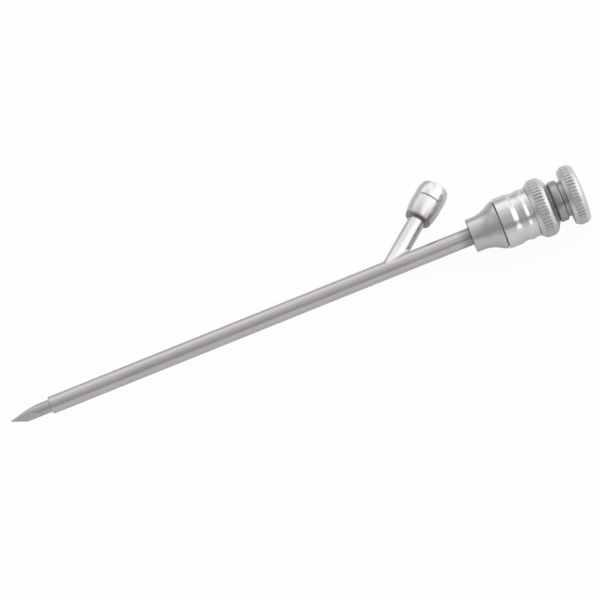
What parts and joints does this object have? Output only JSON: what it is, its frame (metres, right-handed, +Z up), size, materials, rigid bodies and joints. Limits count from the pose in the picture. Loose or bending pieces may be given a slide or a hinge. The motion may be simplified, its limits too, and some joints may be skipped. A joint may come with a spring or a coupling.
{
  "type": "surgical trocar",
  "caption": "Slim steel suction trocar: cannula with a slanted side port, packed gland with a knurled nut, and a sliding three-sided obturator with a knurled knob.",
  "frame": {"origin": "centre of the cannula's distal end, on the main axis", "axes": "+X along the cannula to the knob, +Y the side that the side arm leans out on, +Z up when the trocar lies flat"},
  "size_m": [0.1715, 0.0307, 0.017],
  "materials": {
    "satin_tube": "satin, brushed along the tube",
    "satin_cone": "satin turned",
    "polished_port": "polished",
    "polished_barrel": "polished",
    "knurled_nut": "polished dome, straight knurl",
    "knurled_knob": "satin, straight knurl",
    "turned_collar": "turned, matt",
    "ground_rod": "ground",
    "turned_washer": "turned",
    "silver_solder": "silver solder, smooth",
    "brass_follower": "turned",
    "packing_ptfe": "soft white packing",
    "gasket_fibre": "dark sealing washer"
  },
  "bodies": {
    "cannula": {"cannula_tube": "satin_tube", "side_arm_tube": "polished_port", "side_arm_braze": "silver_solder", "port_socket": "polished_port", "port_ring": "polished_port", "port_braze": "silver_solder", "hub_cone": "satin_cone", "hub_braze": "silver_solder"},
    "hub_gasket": {"hub_gasket": "gasket_fibre"},
    "gland_barrel": {"gland_barrel": "polished_barrel", "packing_seat": "turned_washer", "packing_ring_front": "packing_ptfe", "packing_ring_middle": "packing_ptfe", "packing_ring_rear": "packing_ptfe"},
    "gland_follower": {"gland_follower": "brass_follower"},
    "gland_nut": {"gland_nut": "knurled_nut"},
    "thrust_washer": {"thrust_washer": "turned_washer"},
    "obturator": {"obturator_rod": "ground_rod", "stop_collar": "turned_collar", "knob": "knurled_knob"}
  },
  "joints": [
    {"name": "barrel_travel", "type": "slide", "parent": "cannula", "child": "hub_gasket", "axis": [1, 0, 0], "range_m": [0, 0.00375]},
    {"name": "barrel_turn", "type": "hinge", "parent": "hub_gasket", "child": "gland_barrel", "pos_m": [0.1351, 0, 0], "axis": [1, 0, 0], "range_deg": [0, 1800]},
    {"name": "nut_travel", "type": "slide", "parent": "gland_barrel", "child": "gland_follower", "axis": [1, 0, 0], "range_m": [0, 0.00337]},
    {"name": "nut_turn", "type": "hinge", "parent": "gland_follower", "child": "gland_nut", "pos_m": [0.1444, 0, 0], "axis": [1, 0, 0], "range_deg": [0, 1620]},
    {"name": "obturator_turn", "type": "hinge", "parent": "gland_follower", "child": "thrust_washer", "pos_m": [0.1483, 0, 0], "axis": [1, 0, 0], "continuous": true},
    {"name": "obturator_slide", "type": "slide", "parent": "thrust_washer", "child": "obturator", "axis": [1, 0, 0], "range_m": [0, 0.175]}
  ],
  "couplings": [
    {"joint": "barrel_turn", "follows": "barrel_travel", "rad_per_m": 8377.6},
    {"joint": "nut_turn", "follows": "nut_travel", "rad_per_m": 8377.6}
  ]
}
